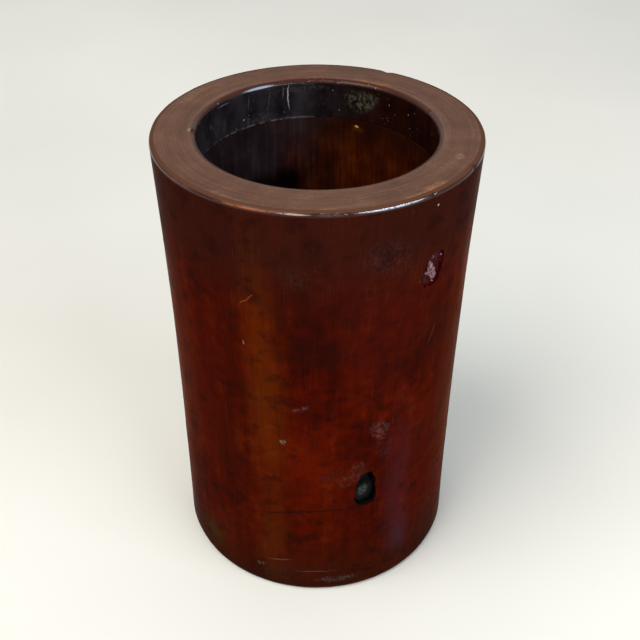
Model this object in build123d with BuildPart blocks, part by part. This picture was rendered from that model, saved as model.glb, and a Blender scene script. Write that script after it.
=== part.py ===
from build123d import *
from math import acos, cos, radians, sin, sqrt
import os

# A pen holder cup: a brush pot made from one thick-walled length of bamboo, stained and lacquered.
# The outside is waisted at the bamboo's own node and flares towards the mouth. The node's septum was
# cut out, and a turned floor is let into the foot from below, pegged and bedded in lacquer putty.
# The frame: +Z is up, the origin is the centre of the foot, and -Y is the front. Millimetres, degrees.

# Driving dimensions of the outside, over the lacquer.
HEIGHT = 161.0
MOUTH_RADIUS = 52.0
WAIST_RADIUS = 49.5
NODE_HEIGHT = 42.0
FLARE_POWER = 2.15

# The lacquer coats.
OUTER_COAT = 0.35
MOUTH_COAT = 0.3
COAT_RIM_GAP = 1.6
COAT_FOOT_GAP = 1.8

# The bamboo under the lacquer.
RIM_ROUNDING = 1.4
LIP_ROUNDING = 2.0
FOOT_ROUNDING = 1.4
MOUTH_BORE = 37.9
MOUTH_BORE_DEPTH = 14.0
BORE_TOP = 37.2
BORE_FOOT = 36.7
SEPTUM_RIDGE = 1.2
SEPTUM_HALF_WIDTH = 5.0
NODE_GROOVE_DEPTH = 0.2
NODE_GROOVE_RADIUS = 0.9

# The floor, let into a rabbet in the foot.
RABBET_RADIUS = 42.5
FLOOR_TOP = 8.5
FLOOR_THICKNESS = 7.0
FLOOR_DISH_RADIUS = 30.0
FLOOR_DISH_DEPTH = 0.8
FLOOR_DISH_SLOPE = 45
FLOOR_CHAMFER = 0.6
PUTTY_LEG = 2.2
PEG_RADIUS = 1.3
PEG_HEIGHT = 5.0
PEG_BITE = 8.0
PEG_COUNT = 4
PEG_FIRST_AZIMUTH = 45
PEG_SHY = 0.1

# The bud scar above the node, a teardrop pit stopped with black lacquer.
BUD_AZIMUTH = -69.6
BUD_CENTRE_HEIGHT = 46.8
BUD_ROUND_RADIUS = 3.7
BUD_TIP_RISE = 9.8
BUD_TIP_ROUNDING = 0.8
BUD_LEAN = -8.0
BUD_PIT_DEPTH = 3.2
BUD_FILL_THICKNESS = 2.2
BUD_DISH_RADIUS = 12.0
BUD_DISH_DEPTH = 0.5

# The chip below the mouth, with an old repair in it.
CHIP_AZIMUTH = -47.6
CHIP_HEIGHT = 134.3
CHIP_HALF_WIDTH = 3.9
CHIP_HALF_HEIGHT = 6.6
CHIP_LEAN = -24.0
CHIP_DEPTH = 0.8
CHIP_FILL_THICKNESS = 0.55
CHIP_FILL_SHIFT = -0.6

# Worked out from those.
RABBET_FLOOR = FLOOR_TOP - FLOOR_THICKNESS
LEDGE_HEIGHT = HEIGHT - MOUTH_BORE_DEPTH
CLEAR = 2.0  # how far a cutter stands clear of the surface it cuts

# The outline is drawn in bands of one arc each, from the foot to the mouth, and the coat covers all but
# the first and the last. The bud scar and the chip each sit in a short band.
BANDS = (0, COAT_FOOT_GAP, 22, NODE_HEIGHT, 59, 80, 102, 125, 143, HEIGHT - COAT_RIM_GAP, HEIGHT)


def outside_radius(z):
    """The radius over the lacquer at height z, narrowest at the node and flaring away from it."""
    rise = abs(z - NODE_HEIGHT) / (HEIGHT - NODE_HEIGHT)
    return WAIST_RADIUS + (MOUTH_RADIUS - WAIST_RADIUS) * rise**FLARE_POWER


def wood_radius(z):
    """The radius of the bamboo under the lacquer at height z."""
    return outside_radius(z) - OUTER_COAT


def draw_outline(radius_at, heights):
    """Draws the arcs of the outline between those heights."""
    for low, high in zip(heights, heights[1:]):
        ThreePointArc(*[(radius_at(z), z) for z in (low, (low + high) / 2, high)])


def wall_plane(azimuth, z, radius):
    """A plane that faces outwards at that azimuth, with local X to the right and local Y up."""
    out = Vector(cos(radians(azimuth)), sin(radians(azimuth)), 0)
    right = Vector(-sin(radians(azimuth)), cos(radians(azimuth)), 0)
    return Plane(origin=out * radius + Vector(0, 0, z), x_dir=right, z_dir=out)


def teardrop():
    """The bud scar's outline: a round bottom drawn up to a point."""
    half_angle = acos(BUD_ROUND_RADIUS / BUD_TIP_RISE)
    touch_x = BUD_ROUND_RADIUS * sin(half_angle)
    touch_y = BUD_ROUND_RADIUS * cos(half_angle)
    with BuildSketch() as outline:
        with BuildLine():
            ThreePointArc((touch_x, touch_y), (0, -BUD_ROUND_RADIUS), (-touch_x, touch_y))
            Polyline((-touch_x, touch_y), (0, BUD_TIP_RISE), (touch_x, touch_y))
        make_face()
        tip = outline.vertices().sort_by(Axis.Y)[-1]
        fillet(tip, radius=BUD_TIP_ROUNDING)
    return outline.sketch


def chip_outline():
    """The chip's outline, an oval that leans to the right."""
    with BuildSketch() as outline:
        Ellipse(CHIP_HALF_WIDTH, CHIP_HALF_HEIGHT, rotation=CHIP_LEAN)
    return outline.sketch


def peg_places(radius):
    """The pegs' places round the foot, each facing outwards at that radius."""
    turns = [PEG_FIRST_AZIMUTH + 360 / PEG_COUNT * n for n in range(PEG_COUNT)]
    return [wall_plane(turn, PEG_HEIGHT, radius).location for turn in turns]


bud_wood = wood_radius(BUD_CENTRE_HEIGHT)
chip_wood = wood_radius(CHIP_HEIGHT)
peg_end = wood_radius(PEG_HEIGHT) - PEG_SHY
peg_inner_end = RABBET_RADIUS - PEG_BITE
septum_bore = BORE_FOOT + (BORE_TOP - BORE_FOOT) * NODE_HEIGHT / LEDGE_HEIGHT

# The bamboo wall: its bore with the stub of the septum, the rabbet, the bud pit, the chip and the peg holes.
with BuildPart() as culm_wall:
    with BuildSketch(Plane.XZ) as blank:
        with BuildLine():
            Polyline((wood_radius(HEIGHT), HEIGHT), (0, HEIGHT), (0, 0), (wood_radius(0), 0))
            draw_outline(wood_radius, BANDS)
        make_face()
        fillet(blank.vertices().sort_by(lambda v: v.X + v.Y)[-1], radius=RIM_ROUNDING)
    revolve(axis=Axis.Z)
    with BuildSketch(Plane.XZ):
        with BuildLine():
            Polyline(
                (septum_bore, NODE_HEIGHT + SEPTUM_HALF_WIDTH),
                (BORE_TOP, LEDGE_HEIGHT),
                (MOUTH_BORE, LEDGE_HEIGHT),
                (MOUTH_BORE, HEIGHT),
                (0, HEIGHT),
                (0, 0),
                (RABBET_RADIUS, 0),
                (RABBET_RADIUS, FLOOR_TOP),
                (BORE_FOOT, FLOOR_TOP),
                (septum_bore, NODE_HEIGHT - SEPTUM_HALF_WIDTH),
            )
            ThreePointArc(
                (septum_bore, NODE_HEIGHT - SEPTUM_HALF_WIDTH),
                (septum_bore - SEPTUM_RIDGE, NODE_HEIGHT),
                (septum_bore, NODE_HEIGHT + SEPTUM_HALF_WIDTH),
            )
        make_face()
    revolve(axis=Axis.Z, mode=Mode.SUBTRACT)
    round_edges = culm_wall.edges().filter_by(GeomType.CIRCLE)
    fillet(round_edges.group_by(Axis.Z)[-1].sort_by(SortBy.RADIUS)[0], radius=LIP_ROUNDING)
    foot_edge = culm_wall.edges().filter_by(GeomType.CIRCLE).group_by(Axis.Z)[0].sort_by(SortBy.RADIUS)[-1]
    fillet(foot_edge, radius=FOOT_ROUNDING)
    with BuildSketch(wall_plane(BUD_AZIMUTH, BUD_CENTRE_HEIGHT, bud_wood + CLEAR)):
        add(teardrop(), rotation=BUD_LEAN)
    extrude(amount=-(CLEAR + BUD_PIT_DEPTH), mode=Mode.SUBTRACT)
    with BuildSketch(wall_plane(CHIP_AZIMUTH, CHIP_HEIGHT, chip_wood + CLEAR)):
        add(chip_outline())
    extrude(amount=-(CLEAR + CHIP_DEPTH - OUTER_COAT), mode=Mode.SUBTRACT)
    with Locations(*peg_places(peg_inner_end)):
        Cylinder(
            PEG_RADIUS,
            MOUTH_RADIUS - peg_inner_end,
            align=(Align.CENTER, Align.CENTER, Align.MIN),
            mode=Mode.SUBTRACT,
        )
culm_wall.part.label = "culm_wall"

# The outer lacquer coat, worn off the rim's rounded edge and stopped short of the foot. It has a hole
# over the bud scar and over the chip, and a groove at the node.
with BuildPart() as outer_lacquer:
    with BuildSketch(Plane.XZ):
        with BuildLine():
            draw_outline(outside_radius, BANDS[1:-1])
            draw_outline(wood_radius, BANDS[1:-1])
            for end in (COAT_FOOT_GAP, HEIGHT - COAT_RIM_GAP):
                Line((wood_radius(end), end), (outside_radius(end), end))
        make_face()
    revolve(axis=Axis.Z, clean=False)
    with BuildSketch(Plane.XZ):
        with Locations((WAIST_RADIUS + NODE_GROOVE_RADIUS - NODE_GROOVE_DEPTH, NODE_HEIGHT)):
            Circle(NODE_GROOVE_RADIUS)
    revolve(axis=Axis.Z, mode=Mode.SUBTRACT, clean=False)
    with BuildSketch(wall_plane(BUD_AZIMUTH, BUD_CENTRE_HEIGHT, bud_wood + CLEAR)):
        add(teardrop(), rotation=BUD_LEAN)
    extrude(amount=-2 * CLEAR, mode=Mode.SUBTRACT, clean=False)
    with BuildSketch(wall_plane(CHIP_AZIMUTH, CHIP_HEIGHT, chip_wood + CLEAR)):
        add(chip_outline())
    extrude(amount=-2 * CLEAR, mode=Mode.SUBTRACT, clean=False)
outer_lacquer.part.label = "outer_lacquer"

# The coat inside the mouth, from the foot of the lip's rounding down to the ledge.
with BuildPart() as mouth_lacquer:
    with BuildSketch(Plane.XY.offset(LEDGE_HEIGHT)):
        Circle(MOUTH_BORE)
        Circle(MOUTH_BORE - MOUTH_COAT, mode=Mode.SUBTRACT)
    extrude(amount=MOUTH_BORE_DEPTH - LIP_ROUNDING)
mouth_lacquer.part.label = "mouth_lacquer"

# The turned floor, dished underneath and drilled for the pegs.
with BuildPart() as floor_disc:
    with BuildSketch(Plane.XY.offset(RABBET_FLOOR)):
        Circle(RABBET_RADIUS)
    extrude(amount=FLOOR_THICKNESS)
    with BuildSketch(Plane.XY.offset(RABBET_FLOOR)):
        Circle(FLOOR_DISH_RADIUS)
    extrude(amount=FLOOR_DISH_DEPTH, taper=FLOOR_DISH_SLOPE, mode=Mode.SUBTRACT)
    chamfer(floor_disc.edges().group_by(Axis.Z)[0].sort_by(SortBy.RADIUS)[-1], length=FLOOR_CHAMFER)
    with Locations(*peg_places(peg_inner_end)):
        Cylinder(
            PEG_RADIUS,
            2 * PEG_BITE,
            align=(Align.CENTER, Align.CENTER, Align.MIN),
            mode=Mode.SUBTRACT,
        )
floor_disc.part.label = "floor_disc"

# The putty bead that seals the corner between floor and bore, with a hollow face.
bead_foot = BORE_FOOT - PUTTY_LEG
bead_top = BORE_FOOT + (septum_bore - BORE_FOOT) * PUTTY_LEG / (NODE_HEIGHT - SEPTUM_HALF_WIDTH - FLOOR_TOP)
with BuildPart() as floor_putty:
    with BuildSketch(Plane.XZ):
        with BuildLine():
            Polyline((bead_foot, FLOOR_TOP), (BORE_FOOT, FLOOR_TOP), (bead_top, FLOOR_TOP + PUTTY_LEG))
            hollow = PUTTY_LEG * (1 - sqrt(0.5))
            ThreePointArc(
                (bead_top, FLOOR_TOP + PUTTY_LEG),
                (BORE_FOOT - hollow, FLOOR_TOP + hollow),
                (bead_foot, FLOOR_TOP),
            )
        make_face()
    revolve(axis=Axis.Z)
floor_putty.part.label = "floor_putty"

# The bamboo pegs, driven through the foot into the floor's edge and cut just shy of the surface.
with BuildPart() as floor_pegs:
    with Locations(*peg_places(peg_inner_end)):
        Cylinder(
            PEG_RADIUS,
            peg_end - peg_inner_end,
            align=(Align.CENTER, Align.CENTER, Align.MIN),
        )
floor_pegs.part.label = "floor_pegs"

# The black lacquer stopping at the bottom of the bud scar, its face dished.
with BuildPart() as bud_scar_fill:
    with BuildSketch(wall_plane(BUD_AZIMUTH, BUD_CENTRE_HEIGHT, bud_wood - BUD_PIT_DEPTH)):
        add(teardrop(), rotation=BUD_LEAN)
    extrude(amount=BUD_FILL_THICKNESS)
    face_radius = bud_wood - BUD_PIT_DEPTH + BUD_FILL_THICKNESS
    dish_centre = wall_plane(BUD_AZIMUTH, BUD_CENTRE_HEIGHT, face_radius + BUD_DISH_RADIUS - BUD_DISH_DEPTH)
    with Locations(dish_centre.origin):
        Sphere(BUD_DISH_RADIUS, mode=Mode.SUBTRACT)
bud_scar_fill.part.label = "bud_scar_fill"

# The old repair in the chip: a smear of filler that narrows to a point at its top.
with BuildPart() as chip_fill:
    with BuildSketch(wall_plane(CHIP_AZIMUTH, CHIP_HEIGHT, chip_wood + OUTER_COAT - CHIP_DEPTH)):
        with Locations((CHIP_FILL_SHIFT, 0)):
            with BuildLine():
                Spline((0, 4.8), (1.4, 0.9), (1.3, -4.2), (-0.9, -4.0), (-1.7, 0.2), periodic=True)
            make_face()
    extrude(amount=CHIP_FILL_THICKNESS)
chip_fill.part.label = "chip_fill"

os.makedirs("parts", exist_ok=True)
for piece in (
    culm_wall,
    outer_lacquer,
    mouth_lacquer,
    floor_disc,
    floor_putty,
    floor_pegs,
    bud_scar_fill,
    chip_fill,
):
    export_step(piece.part, f"parts/{piece.part.label}.step")
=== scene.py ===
import math

import bmesh
import bpy
from mathutils import Matrix, Vector, noise


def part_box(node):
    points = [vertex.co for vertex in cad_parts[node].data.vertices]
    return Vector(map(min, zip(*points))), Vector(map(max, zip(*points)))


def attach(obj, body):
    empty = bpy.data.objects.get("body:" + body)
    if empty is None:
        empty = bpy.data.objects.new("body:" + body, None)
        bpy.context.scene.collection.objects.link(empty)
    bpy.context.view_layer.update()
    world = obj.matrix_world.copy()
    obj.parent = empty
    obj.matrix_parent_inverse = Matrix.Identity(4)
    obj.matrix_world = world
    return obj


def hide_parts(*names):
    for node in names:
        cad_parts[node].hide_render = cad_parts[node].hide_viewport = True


# The looks of a lacquered bamboo pen cup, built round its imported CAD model.
# Design lengths here are in millimetres and angles in degrees; meshes are written in metres.
# An azimuth is measured round the cup's axis: -90 faces the camera and 0 is to its right.

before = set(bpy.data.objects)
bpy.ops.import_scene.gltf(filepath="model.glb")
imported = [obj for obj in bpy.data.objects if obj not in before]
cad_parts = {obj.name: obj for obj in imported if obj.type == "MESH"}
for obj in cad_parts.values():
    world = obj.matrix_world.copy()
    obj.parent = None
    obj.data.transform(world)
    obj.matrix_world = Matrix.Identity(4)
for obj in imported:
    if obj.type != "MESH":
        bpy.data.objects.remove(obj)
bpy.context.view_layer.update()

MM = 0.001
COLUMNS = 512

# Sizes that the CAD nodes give.
wood_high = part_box("culm_wall")[1]
coat_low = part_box("outer_lacquer")[0]
mouth_low, mouth_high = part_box("mouth_lacquer")
floor_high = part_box("floor_disc")[1]
HEIGHT = wood_high.z / MM
COAT_FOOT = coat_low.z / MM
MOUTH_BORE = mouth_high.x / MM
LEDGE = mouth_low.z / MM
FLOOR_TOP = floor_high.z / MM
RABBET_RADIUS = floor_high.x / MM

# The rest of the cup's design, as in the CAD model.
MOUTH_RADIUS = 52.0
WAIST_RADIUS = 49.5
NODE_HEIGHT = 42.0
FLARE_POWER = 2.15
COAT = 0.35
MOUTH_COAT = 0.3
ROUGH_BELOW = COAT + 0.3  # how deep the sides of a pit turn rough
RIM_ROUNDING = 1.4
LIP_ROUNDING = 2.0
FOOT_ROUNDING = 1.4
BORE_TOP = 37.2
BORE_FOOT = 36.7
SEPTUM_RIDGE = 1.2
SEPTUM_HALF_WIDTH = 5.0

# Where the outside's rows of points start and end, clear of the rounded foot and rim.
WALL_FOOT = 2.4
WALL_TOP = HEIGHT - 1.8

# Radii at which stains and smudges are laid on the outside and in the mouth.
OUTSIDE_RADIUS = 51.0
MOUTH_FACE_RADIUS = 37.6


def smooth(value, low, high):
    """0 below low, 1 above high, and smooth between them."""
    t = min(1.0, max(0.0, (value - low) / (high - low)))
    return t * t * (3 - 2 * t)


def hill(value, centre, half_width):
    """A smooth hill of height 1 round the centre, a few half widths across."""
    return math.exp(-(((value - centre) / half_width) ** 2))


def turn(azimuth, other):
    """The angle from other to azimuth, between -180 and 180."""
    return (azimuth - other + 180) % 360 - 180


def round_noise(azimuth, height, turns, length, seed=0.0):
    """Noise over the wall with no seam: turns sets how fine it is round the cup, length how long upwards."""
    a = math.radians(azimuth)
    return noise.noise(Vector((math.cos(a) * turns + seed, math.sin(a) * turns, height / length)))


# -------------------- the shape of the wall

# Places where the rim's outer or inner edge is knocked: azimuth, half width in degrees, depth.
OUTER_NICKS = (
    (-89, 1.6, 0.22), (-84.5, 1.0, 0.3), (-80, 1.8, 0.2), (-27.5, 1.3, 0.55), (-51, 0.7, 0.3), (62, 1.5, 0.4))
INNER_NICKS = ((-177, 1.6, 0.7), (96, 2.0, 0.4), (80, 1.2, 0.35), (20, 1.1, 0.3))


def nick_depth(azimuth, nicks):
    """How far the knocks take the edge back at that azimuth."""
    return sum(depth * hill(turn(azimuth, at), 0, width) for at, width, depth in nicks)


def node_line(azimuth):
    """The height of the node's ring, which dips on the left of the front and wanders a little."""
    return NODE_HEIGHT - 5.0 * hill(turn(azimuth, -118), 0, 17) + 0.7 * round_noise(azimuth, 0, 1.5, 50, 3)


def node_strength(azimuth):
    """How well the node's ring shows: plainest to the left of the bud scar, nearly sanded away elsewhere."""
    return 0.18 + 0.82 * hill(turn(azimuth, -96), 0, 19) + 0.3 * hill(turn(azimuth, 100), 0, 40)


def node_relief(azimuth, above):
    """The ring's section: a fine groove, with a faint swelling over it."""
    groove = -0.13 * hill(above, 0, 0.45) * node_strength(azimuth)
    return groove + 0.08 * hill(above, 2.4, 2.0) + 0.06 * hill(above, -2.5, 2)


def outside(azimuth, z):
    """The lacquered outside's radius: waisted, not quite round, with the node's ring."""
    rise = abs(z - NODE_HEIGHT) / (HEIGHT - NODE_HEIGHT)
    radius = WAIST_RADIUS + (MOUTH_RADIUS - WAIST_RADIUS) * rise**FLARE_POWER
    wander = 0.16 * round_noise(azimuth, z, 1.3, 60) + 0.05 * round_noise(azimuth, z, 7, 22, 9)
    return radius + wander + node_relief(azimuth, z - node_line(azimuth))


def bore(azimuth, z):
    """The bare bore's radius below the mouth: tapered, fluted by the fibres, with the septum's stub."""
    radius = BORE_FOOT + (BORE_TOP - BORE_FOOT) * z / LEDGE
    stub = SEPTUM_RIDGE * max(0.0, 1 - ((z - NODE_HEIGHT) / SEPTUM_HALF_WIDTH) ** 2)
    flutes = 0.05 * round_noise(azimuth, z, 20, 45, 4) + 0.02 * round_noise(azimuth, z, 60, 30, 5)
    return radius - stub + flutes + 0.15 * round_noise(azimuth, z, 1.5, 50, 6)


def rim_height(azimuth, radius):
    """The flat rim's height, with slight hand-finishing waves."""
    a = math.radians(azimuth)
    wave = noise.noise(Vector((math.cos(a) * 2.2, math.sin(a) * 2.2, radius / 9)))
    return HEIGHT - 0.06 + 0.07 * wave


def corner(centre_r, centre_z, radius, degrees):
    """A point on a rounded corner in the section, where 0 points outwards and 90 upwards."""
    a = math.radians(degrees)
    return centre_r + radius * math.cos(a), centre_z + radius * math.sin(a)


# -------------------- meshes

def add_piece(name, vertices, faces, body="root"):
    """Makes a smooth-shaded mesh object from millimetre points and lets it ride on a CAD body."""
    mesh = bpy.data.meshes.new(name)
    mesh.from_pydata([[c * MM for c in v] for v in vertices], [], faces)
    tidy = bmesh.new()
    tidy.from_mesh(mesh)
    loose = [v for v in tidy.verts if not v.link_faces]
    bmesh.ops.delete(tidy, geom=loose, context="VERTS")
    tidy.to_mesh(mesh)
    tidy.free()
    mesh.shade_smooth()
    mesh.set_sharp_from_angle(angle=math.radians(42))
    piece = bpy.data.objects.new(name, mesh)
    bpy.context.scene.collection.objects.link(piece)
    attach(piece, body)
    return piece


def polar(azimuth, radius, z):
    """The point at that azimuth, radius and height."""
    a = math.radians(azimuth)
    return radius * math.cos(a), radius * math.sin(a), z


class Mark:
    """A pit or hole in the wall: its centre, its block of the grid, and its outline round the centre."""

    def __init__(self, azimuth, z, half_width, low, high, outline, roughness):
        self.azimuth, self.z = azimuth, z
        self.half_width, self.low, self.high = half_width, low, high
        self.outline, self.roughness = outline, roughness
        self.scale = math.radians(1) * WAIST_RADIUS

    def local(self, azimuth, z):
        """Where a wall point lies, in millimetres to the right of the mark's centre and above it."""
        return turn(azimuth, self.azimuth) * self.scale, z - self.z

    def world(self, u, v, inset):
        """The point u to the right and v above the centre, inset below the lacquer's outside."""
        azimuth, z = self.azimuth + u / self.scale, self.z + v
        return polar(azimuth, outside(azimuth, z) - inset, z)

    def ring(self, directions, share, inset):
        """A ring of points: a share of 1 is the outline itself, and 2 is the given points."""
        points = []
        roughness = self.roughness if inset > ROUGH_BELOW else 0
        for u, v in directions:
            angle = math.atan2(v, u)
            reach = self.outline(angle)
            reach += (math.hypot(u, v) - reach) * (share - 1)
            u, v = reach * math.cos(angle), reach * math.sin(angle)
            rough = roughness * noise.noise(Vector((u * 0.9, v * 0.9, self.z)))
            points.append(self.world(u, v, inset + rough))
        return points


def band(loop, ring):
    """The faces between two loops of as many vertices."""
    return [(a, b, d, e) for a, b, d, e in zip(loop, loop[1:] + loop[:1], ring[1:] + ring[:1], ring)]


def revolve(name, rows, point, wall_rows, marks=(), film=False):
    """A closed body of revolution, whose section at each azimuth is point(row, azimuth) for every row.

    wall_rows is the range of rows on the outside. marks holds (mark, rings) pairs: each mark replaces a
    block of the outside's grid with rings of (share, inset). In a film, the second half of the rows
    mirrors the first on the inner face, and the marks are holes through both.
    """
    step = 360 / COLUMNS
    count = len(rows)
    azimuths = [-180 + step * c for c in range(COLUMNS)]
    sections = [[point(row, azimuth) for row in rows] for azimuth in azimuths]
    vertices = [polar(a, r, z) for a, section in zip(azimuths, sections) for r, z in section]
    open_cells, faces = set(), []

    def index(column, row):
        return (column % COLUMNS) * count + row % count

    for mark, rings in marks:
        left = int((mark.azimuth - mark.half_width / mark.scale + 180) / step)
        right = int((mark.azimuth + mark.half_width / mark.scale + 180) / step) + 1
        heights = {r: sections[(left + right) // 2][r][1] for r in wall_rows}
        bottom = max(r for r in heights if heights[r] <= mark.z + mark.low)
        top = min(r for r in heights if heights[r] >= mark.z + mark.high)
        open_cells |= {(c, r) for c in range(left, right) for r in range(bottom, top)}
        cells = [(c, bottom) for c in range(left, right)] + [(right, r) for r in range(bottom, top)]
        cells += [(c, top) for c in range(right, left, -1)] + [(left, r) for r in range(top, bottom, -1)]
        directions = [mark.local(azimuths[c], sections[c][r][1]) for c, r in cells]
        loop = [index(c, r) for c, r in cells]
        for share, inset in rings:
            ring = list(range(len(vertices), len(vertices) + len(loop)))
            vertices += mark.ring(directions, share, inset)
            faces += band(loop, ring)
            loop = ring
        if film:
            faces += band(loop, [index(c, count - 1 - r) for c, r in cells])
            open_cells |= {(c, count - 2 - r) for c in range(left, right) for r in range(bottom, top)}
        else:
            vertices.append(mark.world(0, 0, rings[-1][1]))
            faces += [(a, b, len(vertices) - 1) for a, b in zip(loop, loop[1:] + loop[:1])]
    for c in range(COLUMNS):
        for r in range(count):
            if (c, r) not in open_cells:
                faces.append((index(c, r), index(c + 1, r), index(c + 1, r + 1), index(c, r + 1)))
    return add_piece(name, vertices, faces)


# -------------------- the bud scar and the chip

def outline_through(points, raggedness, fineness, seed):
    """An outline as a function of angle, smooth through (degrees, reach) points, made a little ragged."""
    ring = [(points[-1][0] - 360, points[-1][1]), *points, (points[0][0] + 360, points[0][1])]

    def reach(angle):
        degrees = (math.degrees(angle) - points[0][0]) % 360 + points[0][0]
        for (start, low), (end, high) in zip(ring[1:], ring[2:]):
            if degrees <= end:
                break
        between = low + (high - low) * smooth(degrees, start, end)
        wave = noise.noise(Vector((math.cos(angle) * fineness, math.sin(angle) * fineness, seed)))
        return between * (1 + raggedness * wave)

    return reach


# The bud scar: a leaning drop, round below and blunt above. Its points are degrees and millimetres.
bud_outline = outline_through(
    ((-113, 5.0), (-65, 5.0), (-40, 4.5), (-15, 3.8), (20, 3.7), (46, 4.7), (70, 8.2), (84, 10.6), (96, 10.5),
     (109, 8.8), (118, 7.2), (150, 4.4), (181, 4.3), (200, 4.5), (222, 4.7)),
    0.08, 1.8, 3)

# The chip: a ragged, leaning oval.
chip_outline = outline_through(
    ((-105, 6.5), (-80, 6.9), (-60, 6.3), (-30, 4.8), (5, 4.6), (35, 5.4), (60, 5.6), (90, 5.2), (130, 4.0),
     (180, 3.6), (204, 4.4), (219, 5.7), (234, 6.1)),
    0.2, 4.0, 9)

BUD = Mark(-69.6, 46.8, 6.2, -6.2, 12.0, bud_outline, 0.12)
CHIP = Mark(-47.6, 134.3, 6.4, -8.6, 8.6, chip_outline, 0.35)

# Rings of (share, inset) from the grid in to each mark, for the lacquer and for the wood under it.
# The sides go straight down from the outline to a flat floor.
EASE_IN = ((1.7, 0.0), (1.4, 0.0), (1.18, 0.0))
bud_in_coat = EASE_IN + ((1.06, 0.02), (1.0, 0.14), (1.0, COAT), (1.3, COAT))
chip_in_coat = EASE_IN + ((1.05, 0.0), (1.0, 0.05), (1.0, COAT), (1.3, COAT))
under_coat = tuple((share, COAT) for share, inset in EASE_IN)
bud_in_wood = under_coat + tuple((1.0, COAT + depth) for depth in (0.0, 0.25, 1.2, 3.0, 3.2))
chip_in_wood = under_coat + tuple((1.0, COAT + depth) for depth in (0.0, 0.12, 0.35, 0.45, 0.5))


# -------------------- the bamboo wall

def span(start, end, spacing):
    """Evenly spaced values from start up to, but not including, end."""
    count = max(1, round(abs(end - start) / spacing))
    return [start + (end - start) * n / count for n in range(count)]


def wall_heights(start, end):
    """Heights up the outside, closer together at the node, the bud scar and the chip."""
    return (
        span(start, 28, 3.4) + span(28, 40, 1.5) + span(40, 44.6, 0.38) + span(44.6, 60, 1.1)
        + span(60, 124, 3.2) + span(124, 144.5, 1.2) + span(144.5, end, 2.4) + [end]
    )


def follow_node(azimuth, z):
    """Shifts heights near the node so that the grid follows the node's ring."""
    window = smooth(z, 12, 38) * (1 - smooth(z, 46, 72))
    return z + (node_line(azimuth) - NODE_HEIGHT) * window


def rim_edge(azimuth, degrees, proud):
    """A point on the rim's rounded outer edge, proud of the wood, with its knocks."""
    wall = outside(azimuth, HEIGHT - RIM_ROUNDING) - COAT
    r, z = corner(wall - RIM_ROUNDING, HEIGHT - RIM_ROUNDING, RIM_ROUNDING + proud, degrees)
    knock = nick_depth(azimuth, OUTER_NICKS) * hill(degrees, 45, 40)
    top = rim_height(azimuth, r) - HEIGHT
    return r - 0.8 * knock, z - 0.6 * knock + top * smooth(degrees, 30, 90)


def mouth_wander(azimuth):
    """How far the mouth's radius strays from round."""
    return 0.12 * round_noise(azimuth, 0, 2.1, 50, 8)


def lip_edge(azimuth, degrees, proud):
    """A point on the lip's rounded inner edge, where 90 is the top and 180 faces the axis."""
    r, z = corner(MOUTH_BORE + LIP_ROUNDING, HEIGHT - LIP_ROUNDING, LIP_ROUNDING + proud, degrees)
    knock = nick_depth(azimuth, INNER_NICKS) * hill(degrees, 130, 35)
    top = rim_height(azimuth, r) - HEIGHT
    return r + 0.7 * knock + mouth_wander(azimuth), z - 0.7 * knock + top * (1 - smooth(degrees, 90, 140))


def wood_point(row, azimuth):
    """The bamboo's section: where the row meets the azimuth."""
    kind, value = row
    if kind == "foot":
        return value, 0.0
    if kind == "foot_corner":
        wall = outside(azimuth, FOOT_ROUNDING) - COAT
        return corner(wall - FOOT_ROUNDING, FOOT_ROUNDING, FOOT_ROUNDING, value)
    if kind == "wall":
        z = follow_node(azimuth, value)
        return outside(azimuth, z) - COAT, z
    if kind == "rim_corner":
        return rim_edge(azimuth, value, 0.0)
    if kind == "rim":
        outer = rim_edge(azimuth, 90, 0.0)[0]
        inner = lip_edge(azimuth, 90, 0.0)[0]
        radius = outer + (inner - outer) * value
        return radius, rim_height(azimuth, radius)
    if kind == "lip_corner":
        return lip_edge(azimuth, value, 0.0)
    if kind == "mouth":
        return MOUTH_BORE + mouth_wander(azimuth), value
    if kind == "bore":
        return bore(azimuth, value), value
    return RABBET_RADIUS, value


wood_rows = [("foot", RABBET_RADIUS + 0.4), ("foot", 44.5), ("foot", 46.3)]
wood_rows += [("foot_corner", degrees) for degrees in (-90, -60, -30, 0)]
wall_start = len(wood_rows)
wood_rows += [("wall", z) for z in wall_heights(WALL_FOOT, WALL_TOP)]
wall_end = len(wood_rows)
wood_rows += [("rim_corner", degrees) for degrees in range(0, 91, 15)]
wood_rows += [("rim", share) for share in (0.03, 0.08, 0.16, 0.28, 0.42, 0.56, 0.7, 0.82, 0.91, 0.97)]
wood_rows += [("lip_corner", degrees) for degrees in range(90, 181, 15)]
wood_rows += [("mouth", z) for z in span(HEIGHT - LIP_ROUNDING - 1.5, LEDGE, 4)] + [("mouth", LEDGE)]
wood_rows += [("bore", z) for z in [LEDGE, LEDGE - 0.3] + span(LEDGE - 1.5, 50, 3.6)]
wood_rows += [("bore", z) for z in span(50, 34, 1.3) + span(34, FLOOR_TOP, 4) + [FLOOR_TOP]]
wood_rows += [("rabbet", FLOOR_TOP), ("rabbet", FLOOR_TOP / 2), ("rabbet", 0.4)]

bamboo_wall = revolve(
    "bamboo_wall", wood_rows, wood_point, range(wall_start, wall_end),
    [(BUD, bud_in_wood), (CHIP, chip_in_wood)])
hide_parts("culm_wall")


# -------------------- the lacquer

def coat_thickness(degrees):
    """The coat thins as it wraps over the rim's edge."""
    return COAT - (COAT - 0.04) * smooth(degrees, 15, 80)


def coat_point(row, azimuth):
    """The outer coat's section, its face first and then its back."""
    kind, value, inset = row
    if kind == "wall":
        z = follow_node(azimuth, value)
        return outside(azimuth, z) - inset, z
    return rim_edge(azimuth, value, coat_thickness(value) - inset)


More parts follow.
